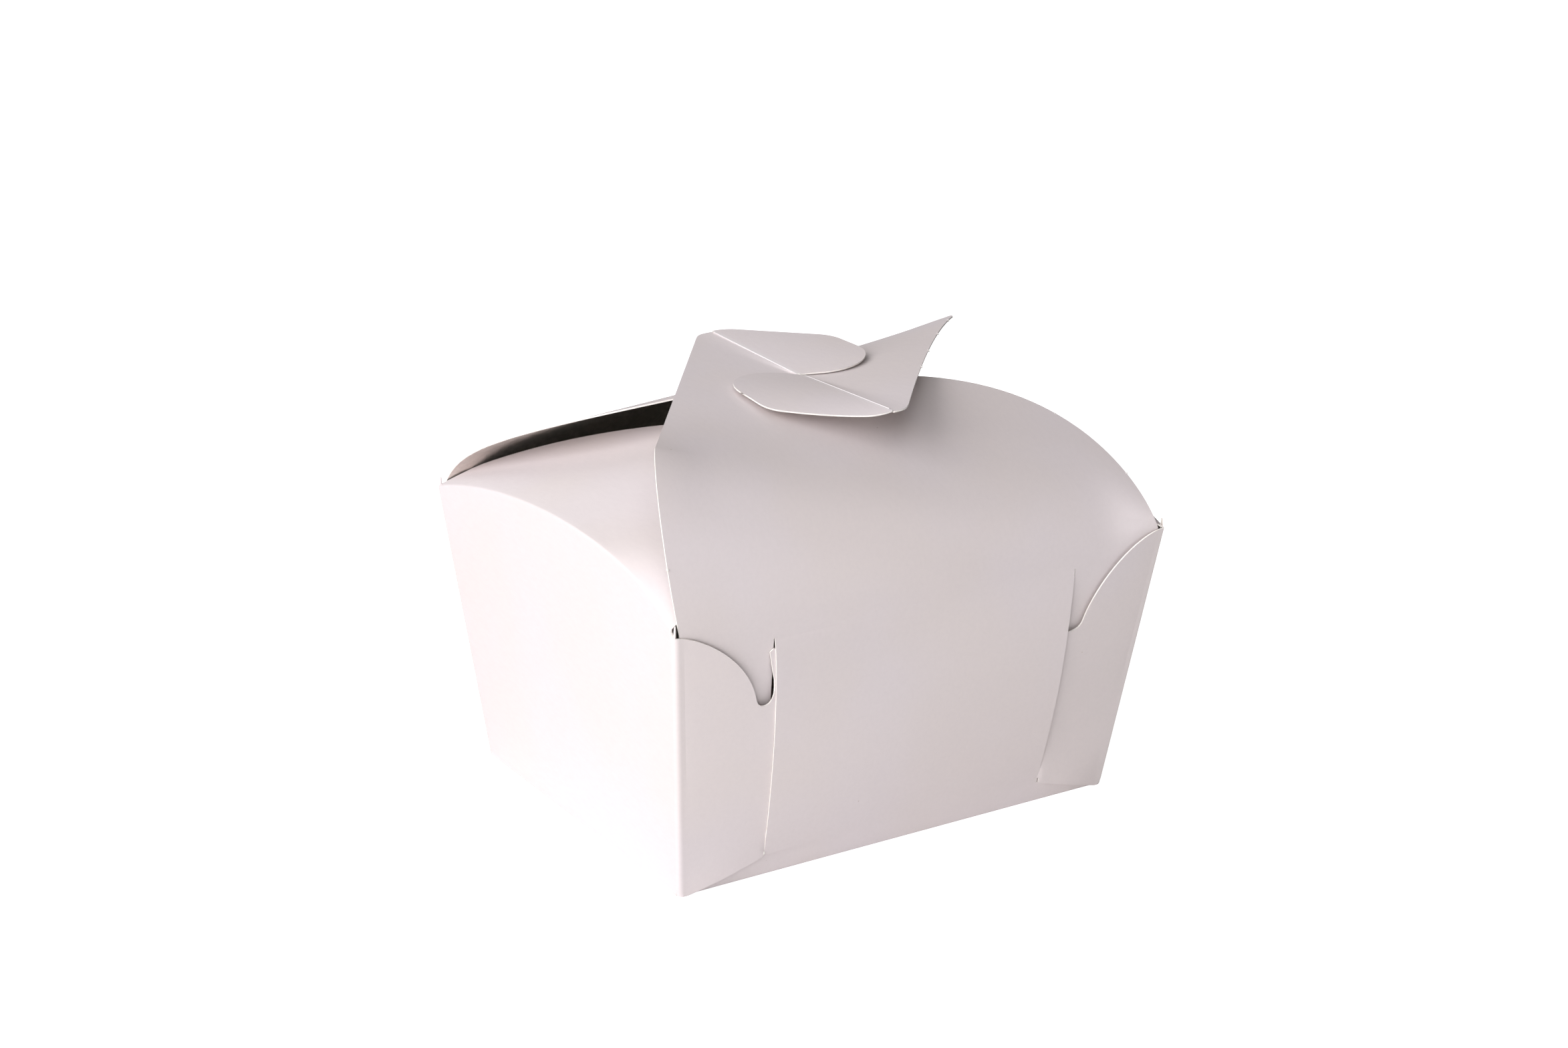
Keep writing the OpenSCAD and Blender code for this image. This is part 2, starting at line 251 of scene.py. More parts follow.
# turns all faces over if their measures add up to less than nothing
def faceOut(bm, measure):
    bm.normal_update()
    if sum(measure(f) for f in bm.faces) < 0:
        bmesh.ops.reverse_faces(bm, faces=bm.faces[:])


def meshFrom(bm, name):
    mesh = bpy.data.meshes.new(name)
    bm.to_mesh(mesh)
    bm.free()
    return mesh


# finishes a bmesh as a piece of board that rides on a node's body and stands for the node
def place(bm, name, node, thick=None, turned=False, materials=None):
    if turned:
        bmesh.ops.transform(bm, matrix=halfTurn, verts=bm.verts[:])
    for f in bm.faces:
        f.smooth = True
    for e in bm.edges:
        e.smooth = not e.is_boundary and e.smooth
    mesh = meshFrom(bm, name)
    piece = bpy.data.objects.new(name, mesh)
    bpy.context.scene.collection.objects.link(piece)
    for m in materials or (outside, inside, edge):
        mesh.materials.append(m)
    if thick:
        wall = piece.modifiers.new("board", "SOLIDIFY")
        wall.thickness, wall.offset = thick * mm, -1
        wall.material_offset, wall.material_offset_rim = 1, 2
    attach(piece, node)
    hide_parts(node)
    return piece


# a fold's curve from a over its sharp corner towards b, in fifths of the way
def foldCurve(a, corner, b, count):
    return [bezier([a, corner, b], i / 5) for i in range(count)]


# front and back wall, each with its lid half; the back half's far corner is bent down into a spike
lid = dict(kinkIn=8.4, kinkBack=25.6, kinkRise=37.5,  # the kink in the free edge, from the wall's top corner
           spikeOut=4.4, spikeBack=8.6, spikeDrop=3,  # how much further the back half's kink is bent over
           spikeAt=0.34, spikeBow=2.7, spikeDip=2.5,  # bow of the edge behind that kink
           bendFrom=(-2.8, 0, 12.5), bendTo=(-8.2, -13.1, -2.5),  # free edge from the wall up to the kink
           wingFrom=(-5.3, -1.9, 11.1), wingTo=(11, 57, 32.6), wingEnd=(0.9, -4.3, -1.1),  # the other edge
           notchRise=36, notchGap=0.5, closureX=0.5,
           scoreLong=40, scoreFall=1.3, scoreSkew=1.6, cornerRound=9.4,
           # shares of the wing's, the slanting and the notch's edge that the first rulings use
           bendShare=0.05, wingShare=0.5, fanShare=5 / 9,
           bendRows=22, wingRows=40, fanRows=14, cornerRows=12, columns=36,
           front=dict(start=0.1, crease=39, end=40.2, sharp=4.2),
           back=dict(start=1.8, crease=38.2, end=39.9, sharp=3.6))
wall = dict(lowRows=[0.45, 0.9, 2.2, 4], topRows=[70, 71.7, 73.3, 75])
slit = dict(foot=5.7, top=68.3, gap=0.25, rows=44, sideColumns=9, bulge=3, bulgePower=1.3, rimPower=1.5,
            left=dict(foot=40.85, top=44.1, bow=0, bulge=2.5, power=0.6, low=0.75, high=1.15),
            right=dict(foot=43.4, top=45.95, bow=0.64, bulge=2.8, power=1, low=1, high=1))
# how softly the board bends at the kink and at the wall's top line, and how far the bend reaches
roll = dict(kink=dict(soft=6, reach=26), top=dict(soft=3.4, reach=19), before=30, after=60, window=60,
            full=0.55, rim=0.1)


def wallPoint(x, z):
    return Vector((x, -(box["baseWide"] / 2 - box["lap"]) - z * math.tan(frontLean), z))


def wallHalf(z):
    return box["baseLong"] / 2 + z * math.tan(endLean) - box["endGap"]


# the wall's top corner, on the left (-1) or on the right (1)
def wallCorner(side):
    return wallPoint(side * wallHalf(box["wallHigh"]), box["wallHigh"])


def slitPart(side):
    return slit["left" if side < 0 else "right"]


def slitShare(z):
    return (z - slit["foot"]) / (slit["top"] - slit["foot"])


def slitX(z, side):
    part, t = slitPart(side), slitShare(z)
    return lerp(part["foot"], part["top"], t) - part["bow"] * math.sin(math.pi * min(max(t, 0), 1))


# how far the panel between the slits stands out; across is -1 at the left slit and 1 at the right one
def bulgeAt(z, across):
    t, part = slitShare(z), slitPart(across)
    if not 0 < t < 1:
        return 0
    wave = math.sin(math.pi * t)
    rim = part["bulge"] * wave ** part["power"] * lerp(part["low"], part["high"], t)
    return lerp(slit["bulge"] * wave ** slit["bulgePower"], rim, abs(across) ** slit["rimPower"])


# shift is the closure's place along the box: above nothing for the front half, below for the back half
def lidPart(shift):
    return lid["front" if shift > 0 else "back"]


# a point on the tab's scored line, that far from the middle of the closure
def scorePoint(shift, far):
    way = Vector((-lid["scoreSkew"], lid["scoreLong"], lid["scoreFall"])) / lid["scoreLong"]
    return Vector((shift - lid["notchGap"], 0, box["wallHigh"] + lid["notchRise"])) + way * far


def cornerPoint(shift, angle):
    r = lid["cornerRound"]
    return scorePoint(shift, lidPart(shift)["end"] - r) + Vector((r * math.cos(angle), r * math.sin(angle), 0))


# spike is 0 for the front half and 1 for the back half
def kink(spike):
    over = (lid["kinkIn"] - spike * lid["spikeOut"], lid["kinkBack"] + spike * lid["spikeBack"],
            lid["kinkRise"] - spike * lid["spikeDrop"])
    return wallCorner(-1) + Vector(over)


def bendEdge(spike, t):
    start, end = wallCorner(-1), kink(spike)
    return bezier([start, start + Vector(lid["bendFrom"]), end + Vector(lid["bendTo"]), end], t)


def slantAngle(shift, spike):
    d = cornerPoint(shift, 0) - Vector((lid["cornerRound"], 0, 0)) - kink(spike)
    return math.atan2(d.y, d.x) + math.asin(lid["cornerRound"] / math.hypot(d.x, d.y))


def slantEdge(shift, spike, t):
    start, end = kink(spike), cornerPoint(shift, slantAngle(shift, spike) + math.pi / 2)
    across = Vector((end.y - start.y, start.x - end.x)).normalized()
    bow = Vector((across.x * lid["spikeDip"], across.y * lid["spikeDip"], lid["spikeBow"]))
    return bezier([start, lerp(start, end, lid["spikeAt"]) + spike * bow, end], t)


def wingEdge(shift, t):
    start, end = wallCorner(1), scorePoint(shift, 0) + Vector(lid["wingEnd"])
    return bezier([start, start + Vector(lid["wingFrom"]), start + Vector(lid["wingTo"]), end], t)


# the lid's outer corner, from the slanting edge round to the scored line
def cornerCurve(shift, spike, t):
    angles = slantAngle(shift, spike) + math.pi / 2, math.pi / 2 + math.atan(lid["scoreSkew"] / lid["scoreLong"])
    start, end = (cornerPoint(shift, a) for a in angles)
    out, back = (lidPart(shift)["sharp"] * Vector((math.sin(a), -math.cos(a), 0)) for a in angles)
    return bezier([start, start + out, end - back, end], t)


# left and right end of each ruling, from the wall's top line to the scored line
def lidRulings(shift, spike):
    bends, wings, fans, corners = (lid[k] for k in ("bendRows", "wingRows", "fanRows", "cornerRows"))
    share, wing, fan = lid["bendShare"], lid["wingShare"], lid["fanShare"]
    last, notch = wingEdge(shift, 1), scorePoint(shift, lidPart(shift)["start"])
    rows = [(bendEdge(spike, i / bends), wingEdge(shift, share * i / bends)) for i in range(1, bends + 1)]
    rows += [(slantEdge(shift, spike, wing * i / wings), wingEdge(shift, lerp(share, 1, i / wings)))
             for i in range(1, wings + 1)]
    rows += [(slantEdge(shift, spike, lerp(wing, 1, i / fans)), lerp(last, notch, fan * i / fans))
             for i in range(1, fans + 1)]
    return rows + [(cornerCurve(shift, spike, i / corners), lerp(last, notch, lerp(fan, 1, i / corners)))
                   for i in range(1, corners + 1)]


def wallHeights():
    shares = [(1 - math.cos(math.pi * i / slit["rows"])) / 2 for i in range(slit["rows"] + 1)]
    return wall["lowRows"] + [lerp(slit["foot"], slit["top"], t) for t in shares] + wall["topRows"]


# one row of the wall, with a column on each side of both slits
def wallRow(z):
    left, right, end = slitX(z, -1), slitX(z, 1), wallHalf(z)
    count, sides = lid["columns"], slit["sideColumns"]
    row = [wallPoint(lerp(-end, -left - slit["gap"], i / sides), z) for i in range(sides + 1)]
    row += [wallPoint(lerp(-left, right, i / count), z) for i in range(count + 1)]
    return row + [wallPoint(lerp(right + slit["gap"], end, i / sides), z) for i in range(sides + 1)]


# bends the sheet softly round the row with that number, by averaging the points along each column
def rollOver(rows, middle, soft, reach):
    last = len(rows[0]) - 1
    for j in range(1, last):
        line = [row[j].copy() for row in rows]
        far = [0.0]
        for a, b in zip(line, line[1:]):
            far.append(far[-1] + (b - a).length)
        rim = smooth(0, roll["rim"], min(j, last - j) / last)
        for i in range(middle - roll["before"], middle + roll["after"]):
            away = abs(far[i] - far[middle])
            if away > reach or i >= len(line) - 2:
                continue
            total, weight = Vector(), 0.0
            for k in range(max(i - roll["window"], 1), min(i + roll["window"], len(line) - 1)):
                w = math.exp(-((far[k] - far[i]) / soft) ** 2 / 2) * (far[k + 1] - far[k - 1])
                total, weight = total + line[k] * w, weight + w
            rows[i][j] = lerp(line[i], total / weight, rim * (1 - smooth(reach * roll["full"], reach, away)))


def lidSheet(name, shift, spike, turned):
    foot, r = wallPoint(0, 0), box["foldRound"]
    wallWay = (wallPoint(0, 10) - foot).normalized()
    fold = [foot + Vector((0, box["wallFoot"], 0))]
    fold += foldCurve(foot + Vector((0, r, 0)), foot, foot + wallWay * r, 5)
    heights = wallHeights()
    rows = [[Vector((p.x, f.y, f.z)) for p in wallRow(heights[0])] for f in fold]
    rows += [wallRow(z) for z in heights]
    first, last = rows[-1][0], rows[-1][-1]
    spread = [(p.x - first.x) / (last.x - first.x) for p in rows[-1]]
    rows += [[lerp(a, b, u) for u in spread] for a, b in lidRulings(shift, spike)]
    top = len(fold) + len(heights) - 1
    rollOver(rows, top + lid["bendRows"], **roll["kink"])
    rollOver(rows, top, **roll["top"])
    low = len(fold) + heights.index(slit["foot"])
    high = low + slit["rows"]
    left, right = slit["sideColumns"], slit["sideColumns"] + lid["columns"] + 1
    outward = Vector((0, -math.cos(frontLean), -math.sin(frontLean)))
    for i in range(low, high):
        for j in range(left + 1, right + 1):
            across = 2 * (j - left - 1) / lid["columns"] - 1
            rows[i][j] = rows[i][j] + outward * bulgeAt(heights[i - len(fold)], across)
    bm = bmesh.new()
    gridInto(bm, rows, lambda i, j: low <= i < high and j in (left, right))
    return place(bm, name, "carton", box["board"], turned)


lidSheet("frontSheet", lid["closureX"], 0, False)
lidSheet("backSheet", -lid["closureX"], 1, True)
print("walls and lid halves made")

# end walls with shoulders and corner locks; side -1 is a shoulder's free side, 1 the side pressed by the wing
shoulder = dict(pressedRise=16.2, pressedRun=45, freeRise=18.8, freeRun=15, slope=12.8, slopeSkew=1.5,
                reach=51, root=6, cut=53, cutHollow=8, cutSlope=2.1, gap=1.5, soft=1.5, fold=0.6, foldLap=0.15,
                hump=4.5, humpRun=6, humpFrom=-24, humpTo=-56,
                rows=18, columns=56, rowPower=1.2, foldAngles=(90, 67, 45, 22), rimColumns=(1, 0.992, 0.975),
                wallRows=18, wallLow=(0.7, 1.6), wallTop=2, foldStart=0.3)
# points are places along the wall and heights, from the left end's front corner
lock = dict(strip=1.4, stripStart=0.3, tuck=0.4, tuckHigh=2, beyond=-85, columns=21, columnWide=1.35, weld=0.02,
            edgeSteps=26, edgeStart=0.2, notchSteps=8, hookSteps=9,
            notch=((0.6, 50.95), 50.75), tongueBack=((-38, 6), (-0.3, -1), 0.45),
            free=dict(round=1.3, behind=0.95, tongueFoot=8, hook=-46.5,
                      edge=((-73, 74.3), (-67.87, 74.75), (-52.11, 66.08), (-48.75, 53.1)),
                      hookCurve=((-44.1, 50.65), (-43.75, 54.5)),
                      barb=((-43.78, 56), (-43.84, 57.3), (-44.5, 60), (-44.9, 62.4), (-45.4, 64.9), (-44.5, 65.6),
                            (-44.1, 65.7), (-42.6, 60), (-38, 52))),
            pressed=dict(round=0.35, behind=1.6, tongueFoot=8, hook=-46,
                         edge=((-73, 74.8), (-65.22, 74.94), (-53.56, 65.2), (-49.9, 53.1)), hookCurve=(),
                         barb=((-44.6, 51.1), (-43.6, 52.5), (-43.2, 60), (-42, 60), (-38, 52))))
# how a lock stands out of its wall's plane
stand = dict(low=9, high=46, least=0.12, power=0.8, belly=0.55, bellyHigh=16, barbHigh=(53, 58), barbLong=(7, 2),
             under=1, underLong=(0.3, 0.5), rim=0.05)


def lockPart(side):
    return lock["free" if side < 0 else "pressed"]


def scoreCurve(t):
    w, h = box["topWide"] / 2, box["wallHigh"]
    return bezier([Vector((w, h)), Vector((w - shoulder["pressedRun"], h + shoulder["pressedRise"])),
                   Vector((-w + shoulder["freeRun"], h + shoulder["freeRise"])), Vector((-w, h))], t)


def scoreHigh(y):
    return scoreCurve(halve(lambda t: scoreCurve(t).x > y, 24)).y


def shoulderLong(y):
    w = abs(y) / (box["topWide"] / 2)
    side = shoulder["root"] + shoulder["cut"] * (1 - w) - shoulder["cutHollow"] * w * (1 - w)
    clear = shoulder["root"] / 2 + shoulder["cutSlope"] * (box["topWide"] / 2 - shoulder["gap"] - abs(y))
    s = shoulder["soft"]
    soft = -s * math.log(math.exp(-side / s) + math.exp(-shoulder["reach"] / s))
    return max(min(clear, soft), shoulder["fold"] + shoulder["foldLap"])


# height of the shoulder over its score, x inwards
def shoulderOver(x, y):
    rise = math.tan(math.radians(shoulder["slope"])) * (1 + y / box["topWide"] * shoulder["slopeSkew"])
    hump = shoulder["hump"] * smooth(shoulder["humpFrom"], shoulder["humpTo"], y)
    return rise * x + hump * (1 - math.exp(-x / shoulder["humpRun"]))


def endFace(z):
    return -box["baseLong"] / 2 - z * math.tan(endLean)


def halfWide(z):
    return box["baseWide"] / 2 - box["skin"] + z * math.tan(frontLean)


# heights of the points up the end wall, as shares of its height
def endShares():
    top, count = box["wallHigh"], shoulder["wallRows"]
    low = [z / top for z in shoulder["wallLow"]]
    return low + [i / count for i in range(1, count)] + [1 - shoulder["wallTop"] / top]


# a column up the lock's fold or strip; point gives its place from the fold's middle line, tuck and height
def uprightColumn(side, highest, point):
    r = lockPart(side)["round"]
    points = []
    for z in [0] + [v * box["wallHigh"] for v in endShares()[1:]] + [highest]:
        tuck = lock["tuck"] * max(1 - z / lock["tuckHigh"], 0) ** 2
        points.append(point(endFace(z) + r, halfWide(z) - r, tuck, z))
    return [None] * 7 + points + [None] * (5 + shoulder["rows"])


def foldColumn(side, angle):
    r, c, s = lockPart(side)["round"], math.cos(angle), math.sin(angle)
    return uprightColumn(side, lerp(box["wallHigh"], lockPart(side)["edge"][0][1], s),
                         lambda x, w, tuck, z: Vector((x + tuck - r * c, side * (w + r * s), z)))


def stripColumn(side, far):
    r, corner = lockPart(side)["round"], lockCorner(side).y * math.cos(frontLean)
    return uprightColumn(side, lerp(lockPart(side)["edge"][0][1], corner, far / lock["strip"]),
                         lambda x, w, tuck, z: Vector((x + far, side * (w + r), z)))


# one column of the left end's sheet, from the bottom over the score to the shoulder's edge
def wallColumn(across):
    r, foldRound, scoreRound = lockPart(across)["round"], box["foldRound"], shoulder["fold"]
    yLow, yHigh = (across * (halfWide(z) - r) for z in (0, box["wallHigh"]))
    high = scoreHigh(yHigh)
    foot, crest = Vector((endFace(0), yLow, 0)), Vector((endFace(high), yHigh, high))
    up = (crest - foot).normalized()
    points = [foot + Vector((box["endFoot"], 0, 0))]
    points += foldCurve(foot + Vector((foldRound, 0, 0)), foot, foot + up * foldRound, 6)
    points += [lerp(foot, crest, v) for v in endShares()[:-1]]
    near = scoreRound * math.cos(math.atan(shoulderOver(1, yHigh)))
    points.append(crest - up * (scoreRound + shoulder["foldStart"]))
    points += foldCurve(crest - up * scoreRound, crest, crest + Vector((near, 0, shoulderOver(near, yHigh))), 6)
    for i in range(1, shoulder["rows"] + 1):
        x = lerp(near, shoulderLong(yHigh), (i / shoulder["rows"]) ** shoulder["rowPower"])
        points.append(crest + Vector((x, 0, shoulderOver(x, yHigh))))
    return points


# a point of the flat lock: x along, y up the slope
def flatPoint(x, z):
    return Vector((x, z / math.cos(frontLean)))


# the lock's top edge from the corner to the notch
def lockEdge(t, side):
    return bezier([flatPoint(*p) for p in lockPart(side)["edge"]], t)


def foldShift(side):
    return lockPart(side)["round"] + lock["strip"]


# where the lock's top edge meets the fold's strip
def lockCorner(side):
    def outsideStrip(t):
        p = lockEdge(t, side)
        return p.x < endFace(p.y * math.cos(frontLean)) + foldShift(side)
    return lockEdge(halve(outsideStrip, 30), side)


def lockOutline(side):
    part, first = lockPart(side), lockCorner(side)
    line = [Vector((lock["beyond"], first.y)), first]
    edgePoints = (lockEdge(i / lock["edgeSteps"], side) for i in range(lock["edgeSteps"] + 1))
    line += [p for p in edgePoints if p.x > first.x + lock["edgeStart"]]
    (notchX, notchZ), hookZ = lock["notch"]
    end, low = line[-1], flatPoint(part["hook"], hookZ)
    steps = lock["notchSteps"]
    line += [bezier([end, flatPoint(end.x + notchX, notchZ), low], i / steps) for i in range(1, steps + 1)]
    if part["hookCurve"]:
        hook, steps = [low] + [flatPoint(*p) for p in part["hookCurve"]], lock["hookSteps"]
        line += [bezier(hook, i / steps) for i in range(1, steps + 1)]
    line += [flatPoint(*p) for p in part["barb"]]
    (backX, backUp), (footX, footUp), slitLap = lock["tongueBack"]
    foot = part["tongueFoot"]
    line += [flatPoint(backX, foot + backUp), flatPoint(1 - slitX(foot, side), foot),
             flatPoint(footX - slitX(foot, side), foot + footUp),
             flatPoint(-slitX(slit["foot"], side) - slitLap, slit["foot"])]
    return line + [Vector((endFace(0) + foldShift(side), 0)), Vector((lock["beyond"], 0))]


# how far the lock stands out of its own wall's plane: it leans out to where the panel catches it
def lockStand(x, z, side):
    behind, near = lockPart(side)["behind"], -slitX(z, side)
    fold = endFace(z) + foldShift(side)
    share = min(max((x - fold) / (near - fold), 0), 1)
    caught = max(bulgeAt(min(max(z, stand["low"]), stand["high"]), side) - behind, stand["least"])
    belly = stand["belly"] * math.sin(math.pi * share) * (1 - smooth(0, stand["bellyHigh"], z))
    out = caught * share ** stand["power"] + belly
    barb = smooth(*stand["barbHigh"], z) * smooth(near - stand["barbLong"][0], near - stand["barbLong"][1], x)
    out = lerp(out, max(bulgeAt(z, side) - behind, 0), barb)
    before, after = stand["underLong"]
    if x > near - before:
        out = lerp(out, min(bulgeAt(z, side) - stand["under"], out), smooth(near - before, near + after, x))
    return min(out, box["topWide"] / 2 - stand["rim"] - halfWide(z))


# one corner lock of the left end: cut out flat, divided by straight lines, then bent into place
def lockMesh(side):
    bm = bmesh.new()
    bm.faces.new([bm.verts.new((p.x, p.y, 0)) for p in lockOutline(side)])
    top, count, strip = box["wallHigh"], shoulder["wallRows"], foldShift(side)
    foldFoot, foldTop = (Vector((endFace(z) + strip, z / math.cos(frontLean), 0)) for z in (0, top))
    across = Vector((foldTop.y - foldFoot.y, foldFoot.x - foldTop.x, 0))
    bmesh.ops.bisect_plane(bm, geom=everything(bm), plane_co=foldFoot, plane_no=across, clear_inner=True)
    heights = [shoulder["wallLow"][1]] + [top * i / count for i in range(1, count)] + [top - shoulder["wallTop"]]
    for z in heights + [top * (i + 0.5) / count for i in range(8, count - 1)]:
        bmesh.ops.bisect_plane(bm, geom=everything(bm), plane_co=(0, z / math.cos(frontLean), 0), plane_no=(0, 1, 0))
    for i in range(1, lock["columns"] + 1):
        spot = foldFoot + Vector((i * lock["columnWide"], 0, 0))
        bmesh.ops.bisect_plane(bm, geom=everything(bm), plane_co=spot, plane_no=across)
    for v in bm.verts:
        x, z = v.co.x, v.co.y * math.cos(frontLean)
        v.co = Vector((x, side * (halfWide(z) + lockStand(x, z, side)), z)) * mm
    bmesh.ops.triangulate(bm, faces=bm.faces[:])
    faceOut(bm, lambda f: f.normal.y * side)
    return meshFrom(bm, "lockPart")


def endSheet(name, turned):
    angles, count = [math.radians(a) for a in shoulder["foldAngles"]], shoulder["columns"]
    columns = [stripColumn(-1, far) for far in (lock["strip"], lock["stripStart"])]
    columns += [foldColumn(-1, a) for a in angles]
    rim, beside, last = shoulder["rimColumns"]
    spread = [-rim, -beside] + [lerp(-last, last, i / count) for i in range(count + 1)] + [beside, rim]
    columns += [wallColumn(across) for across in spread]
    columns += [foldColumn(1, a) for a in reversed(angles)]
    columns += [stripColumn(1, far) for far in (lock["stripStart"], lock["strip"])]
    columns.reverse()
    bm = bmesh.new()
    gridInto(bm, [list(row) for row in zip(*columns)])
    faceOut(bm, lambda f: -f.normal.x)
    for side in (-1, 1):
        flap = lockMesh(side)
        bm.from_mesh(flap)
        bpy.data.meshes.remove(flap)
    bmesh.ops.remove_doubles(bm, verts=bm.verts[:], dist=lock["weld"] * mm)
    return place(bm, name, "carton", box["board"], turned)


endSheet("leftSheet", False)
endSheet("rightSheet", True)
print("end walls, shoulders and locks made")

# the board's end rolls up a little where shoulder and lock part, at each corner
curl = dict(x=-72.45, y=60.85, foot=74.4, high=3, wide=0.42, narrow=0.26, lean=0.1, sweep=250, start=10, steps=22,
            thick=0.2)


def cornerCurl(name, side, turned):
    bm = bmesh.new()
    ends = [bm.verts.new((curl["wide"] * mm, 0, 0)), bm.verts.new((curl["narrow"] * mm, 0, curl["high"] * mm))]
    line = bm.edges.new(ends)
    bmesh.ops.spin(bm, geom=ends + [line], cent=(0, 0, 0), axis=(0, 0, 1), angle=math.radians(curl["sweep"]),
                   steps=curl["steps"])
    bmesh.ops.rotate(bm, verts=bm.verts[:], cent=(0, 0, 0),
                     matrix=Matrix.Rotation(math.radians(curl["start"]), 4, "Z"))
    middle = Vector((curl["x"], side * curl["y"], curl["foot"])) * mm
    for v in bm.verts:
        x, y, z = v.co
        v.co = middle + Vector((x + curl["lean"] * z / curl["high"], -side * y, z))
    faceOut(bm, lambda f: (f.calc_center_median() - middle).dot(f.normal))
    return place(bm, name, "carton", curl["thick"], turned)


for name, side, turned in (("leftFrontCurl", -1, False), ("leftBackCurl", 1, False),
                           ("rightBackCurl", -1, True), ("rightFrontCurl", 1, True)):
    cornerCurl(name, side, turned)
print("corner curls made")

# bottom panel
bottom = dict(cells=24)


def bottomPanel():
    x, y = box["baseLong"] / 2 - box["endFoot"], box["baseWide"] / 2 - box["lap"] - box["wallFoot"]
    n = bottom["cells"]
    bm = bmesh.new()
    gridInto(bm, [[Vector((lerp(x, -x, j / n), lerp(-y, y, i / n), 0)) for j in range(n + 1)]
                  for i in range(n + 1)])
    return place(bm, "bottomPanel", "carton", box["board"])


bottomPanel()
print("bottom made")

# tabs on their scored lines; curl is the radius that they bend down to
tab = dict(curl=350, tipRound=9, tipY=16.2, bellyRound=13, notchRound=0.3, notchX=0.2, segments=72,
           root=0.16, sink=0.02, bead=0.2, beadUp=0.1, creaseFrom=0.2, creaseTo=1.2,
           columns=(0.6, 1.4) + tuple(range(3, 26)), rows=range(-3, 40, 2),
           front=dict(start=0.1, reach=24.7, over=4.2, lift=5.7, liftOut=1.6, blend=1),
           back=dict(start=3, reach=24.3, over=4, lift=6.3, liftOut=-9, blend=1.7))


# the tab's own frame: on the score, x out over the tab, y along the score
def scoreFrame(shift):
    d = scorePoint(shift, 1) - scorePoint(shift, 0)
    turn = Matrix.Rotation(math.atan2(-d.x, d.y), 4, "Z")
    turn = turn @ Matrix.Rotation(math.atan2(d.z, math.hypot(d.x, d.y)), 4, "X")
    middle = scorePoint(shift, 0) - Vector((0, 0, box["board"] / 2 + tab["sink"]))
    return Matrix.Translation(middle * mm) @ turn


def tabPiece(name, node, shift, turned):
    bm = bmesh.new()
    end, corner, own = lidPart(shift)["end"], lid["cornerRound"], tab["front" if shift > 0 else "back"]
    # the outline is what a band round four discs would give
    for x, y, r in ((0, end - corner, corner), (own["reach"] - tab["tipRound"], tab["tipY"], tab["tipRound"]),
                    (own["reach"] - tab["bellyRound"], tab["bellyRound"] - own["over"], tab["bellyRound"]),
                    (tab["notchX"], own["start"] + tab["notchRound"], tab["notchRound"])):
        bmesh.ops.create_cone(bm, cap_ends=True, segments=tab["segments"], radius1=r, radius2=r, depth=2,
                              matrix=Matrix.Translation((x, y, 0)))
    hull = bmesh.ops.convex_hull(bm, input=bm.verts[:], use_existing_faces=False)
    inner = [g for g in hull["geom_interior"] if isinstance(g, bmesh.types.BMVert)]
    bmesh.ops.delete(bm, geom=inner, context="VERTS")
    bmesh.ops.dissolve_limit(bm, angle_limit=0.001, verts=bm.verts[:], edges=bm.edges[:])
    bmesh.ops.bisect_plane(bm, geom=everything(bm), plane_co=(0, 0, 0.5), plane_no=(0, 0, 1), clear_inner=True)
    bmesh.ops.delete(bm, geom=[f for f in bm.faces if abs(f.normal.z) < 0.9], context="FACES")
    bmesh.ops.bisect_plane(bm, geom=everything(bm), plane_co=(tab["root"], 0, 0), plane_no=(1, 0, 0),
                           clear_inner=True)
    for x in tab["columns"]:
        bmesh.ops.bisect_plane(bm, geom=everything(bm), plane_co=(x, 0, 0), plane_no=(1, 0, 0))
    for y in tab["rows"]:
        bmesh.ops.bisect_plane(bm, geom=everything(bm), plane_co=(0, y, 0), plane_no=(0, 1, 0))
    crease = bm.verts.layers.float.new("crease")
    for v in bm.verts:
        x, y = v.co.x, v.co.y
        lift = math.radians(lerp(own["lift"], own["liftOut"], max(y / end, 0) ** own["blend"]))
        # the crease value paints the board paler near the score: partly whitening of the scored board, partly a
        # painted highlight
        v[crease] = 1 - smooth(tab["creaseFrom"], tab["creaseTo"], x)
        v.co = Vector((x, y, x * math.tan(lift) - x * x / (2 * tab["curl"]) + box["board"] / 2)) * mm
    bmesh.ops.triangulate(bm, faces=bm.faces[:])
    bmesh.ops.transform(bm, matrix=scoreFrame(shift), verts=bm.verts[:])
    faceOut(bm, lambda f: f.normal.z)
    return place(bm, name, node, box["board"], turned)


# the bead that the score leaves along the fold
def beadPiece(name, shift, turned):
    bm = bmesh.new()
    r, low = tab["bead"] * mm, lidPart(shift)["start"] * mm
    long = lidPart(shift)["crease"] * mm - low
    bmesh.ops.create_cone(bm, cap_ends=True, segments=20, radius1=r, radius2=r, depth=long)
    bmesh.ops.bevel(bm, geom=[e for e in bm.edges if abs(e.calc_face_angle(0)) > 1], offset=r * 0.5,
                    offset_type="OFFSET", affect="EDGES", segments=3, profile=0.5, material=-1)
    # the whole bead takes the paler score colour, partly as a painted highlight of its bright line
    crease = bm.verts.layers.float.new("crease")
    for v in bm.verts:
        v[crease] = 1
    along = Matrix.Translation((0, 0, tab["beadUp"] * mm)) @ Matrix.Rotation(-math.pi / 2, 4, "X")
    along = along @ Matrix.Translation((0, 0, low + long / 2))
    bmesh.ops.transform(bm, matrix=scoreFrame(shift) @ along, verts=bm.verts[:])
    return place(bm, name, "carton", None, turned)


tabPiece("frontTab", "front_tab", lid["closureX"], False)
tabPiece("backTab", "back_tab", -lid["closureX"], True)
beadPiece("frontScore", lid["closureX"], False)
beadPiece("backScore", -lid["closureX"], True)
print("tabs made")

